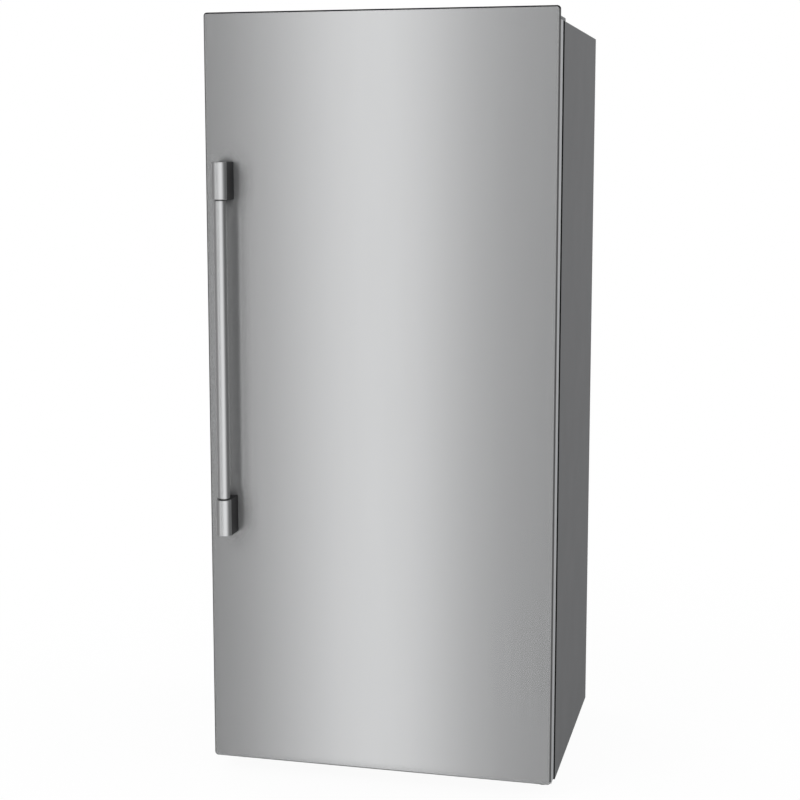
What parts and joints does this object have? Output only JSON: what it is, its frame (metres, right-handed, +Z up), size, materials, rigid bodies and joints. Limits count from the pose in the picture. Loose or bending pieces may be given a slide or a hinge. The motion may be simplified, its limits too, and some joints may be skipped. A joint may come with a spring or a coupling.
{
  "type": "single door refrigerator",
  "caption": "Tall free-standing refrigerator with a brushed steel door on a right-hand hinge, bar handle, glass shelves, crisper drawers, door bins and a rear machine compartment.",
  "frame": {"origin": "floor level below the centre of the whole object's box, handle included", "axes": "+X to the right seen from the front, +Y to the back, +Z up; the door faces -Y"},
  "size_m": [0.835, 0.7389, 1.837],
  "materials": {
    "stainless": "vertically brushed stainless steel",
    "handle_steel": "satin stainless steel",
    "cabinet_paint": "dark grey textured paint",
    "frame_paint": "light grey satin paint",
    "hinge_grey": "mid grey moulded plastic",
    "black_paint": "black paint",
    "zinc": "zinc plated sheet",
    "foam": "rigid foam",
    "liner_white": "white thermoformed liner",
    "trim_white": "white moulded plastic",
    "white_metal": "white powder coat",
    "console_grey": "grey moulded plastic",
    "clear_plastic": "clear moulded plastic",
    "lens": "frosted light lens",
    "shelf_glass": "clear tempered glass",
    "black_plastic": "black moulded plastic",
    "gasket_rubber": "black soft gasket",
    "copper": "copper tube",
    "aluminium": "bare aluminium"
  },
  "bodies": {
    "cabinet": {"cabinet_wrapper": "cabinet_paint", "rear_panel": "zinc", "cabinet_insulation": "foam", "inner_liner": "liner_white", "base_frame": "black_paint", "machine_cover": "console_grey", "power_inlet": "black_plastic", "control_console": "console_grey", "light_lens": "lens", "duct_cover": "trim_white", "evaporator_coil": "aluminium", "shelf_tracks": "white_metal", "shelf_frame_1": "white_metal", "shelf_frame_2": "white_metal", "shelf_frame_3": "white_metal", "shelf_glass_1": "shelf_glass", "shelf_glass_2": "shelf_glass", "shelf_glass_3": "shelf_glass", "crisper_frame": "trim_white", "crisper_glass": "shelf_glass", "crisper_rails": "trim_white", "compressor": "black_paint", "compressor_mounts": "gasket_rubber", "condenser_coil": "black_paint", "condenser_shroud": "black_plastic", "drain_pan": "black_plastic", "drain_tube": "black_plastic", "refrigerant_pipes": "copper", "top_hinge_bracket": "zinc", "top_hinge_cover": "hinge_grey", "bottom_hinge_bracket": "black_paint", "cabinet_screws": "zinc"},
    "door": {"door_skin": "stainless", "door_side_frames": "frame_paint", "door_foam": "foam", "door_liner": "liner_white", "door_caps": "hinge_grey", "door_gasket": "gasket_rubber", "hinge_bushings": "trim_white", "handle_bar": "handle_steel", "handle_posts": "handle_steel", "handle_standoffs": "black_plastic", "door_bin_1": "clear_plastic", "door_bin_2": "clear_plastic", "door_bin_3": "clear_plastic", "bottle_bin": "clear_plastic", "dairy_box": "trim_white"},
    "dairy_lid": {"dairy_lid": "clear_plastic"},
    "crisper_left": {"crisper_left": "clear_plastic"},
    "crisper_right": {"crisper_right": "clear_plastic"},
    "humidity_slider_left": {"humidity_slider_left": "trim_white"},
    "humidity_slider_right": {"humidity_slider_right": "trim_white"},
    "evaporator_fan": {"evaporator_fan": "black_plastic"},
    "condenser_fan": {"condenser_fan": "black_plastic"},
    "roller_left": {"roller_left": "black_plastic"},
    "roller_right": {"roller_right": "black_plastic"},
    "foot_left": {"foot_left": "black_plastic"},
    "foot_right": {"foot_right": "black_plastic"},
    "key_colder": {"key_colder": "trim_white"},
    "key_warmer": {"key_warmer": "trim_white"}
  },
  "joints": [
    {"name": "cabinet_door", "type": "hinge", "parent": "cabinet", "child": "door", "pos_m": [0.3955, -0.2795, 0], "axis": [0, 0, 1], "range_deg": [0, 115]},
    {"name": "crisper_left_slide", "type": "slide", "parent": "cabinet", "child": "crisper_left", "axis": [0, -1, 0], "range_m": [0, 0.1]},
    {"name": "crisper_right_slide", "type": "slide", "parent": "cabinet", "child": "crisper_right", "axis": [0, -1, 0], "range_m": [0, 0.1]},
    {"name": "dairy_lid_hinge", "type": "hinge", "parent": "door", "child": "dairy_lid", "pos_m": [0, -0.2325, 1.581], "axis": [1, 0, 0], "range_deg": [0, 75]},
    {"name": "humidity_left_slide", "type": "slide", "parent": "cabinet", "child": "humidity_slider_left", "axis": [1, 0, 0], "range_m": [0, 0.04]},
    {"name": "humidity_right_slide", "type": "slide", "parent": "cabinet", "child": "humidity_slider_right", "axis": [1, 0, 0], "range_m": [0, 0.04]},
    {"name": "key_colder_press", "type": "slide", "parent": "cabinet", "child": "key_colder", "axis": [0, 1, 0], "range_m": [0, 0.0012], "stiffness_N_per_m": 300, "springref_m": -0.003},
    {"name": "key_warmer_press", "type": "slide", "parent": "cabinet", "child": "key_warmer", "axis": [0, 1, 0], "range_m": [0, 0.0012], "stiffness_N_per_m": 300, "springref_m": -0.003},
    {"name": "fan_evaporator_spin", "type": "hinge", "parent": "cabinet", "child": "evaporator_fan", "pos_m": [0, 0.2745, 0.767], "axis": [0, 1, 0], "continuous": true},
    {"name": "fan_condenser_spin", "type": "hinge", "parent": "cabinet", "child": "condenser_fan", "pos_m": [0, 0.2719, 0.1305], "axis": [1, 0, 0], "continuous": true},
    {"name": "roller_left_spin", "type": "hinge", "parent": "cabinet", "child": "roller_left", "pos_m": [-0.3575, 0.3295, 0.0115], "axis": [1, 0, 0], "continuous": true},
    {"name": "foot_left_turn", "type": "hinge", "parent": "cabinet", "child": "foot_left", "pos_m": [-0.3725, -0.1905, 0], "axis": [0, 0, 1], "continuous": true},
    {"name": "roller_right_spin", "type": "hinge", "parent": "cabinet", "child": "roller_right", "pos_m": [0.3575, 0.3295, 0.0115], "axis": [1, 0, 0], "continuous": true},
    {"name": "foot_right_turn", "type": "hinge", "parent": "cabinet", "child": "foot_right", "pos_m": [0.3725, -0.1905, 0], "axis": [0, 0, 1], "continuous": true}
  ]
}
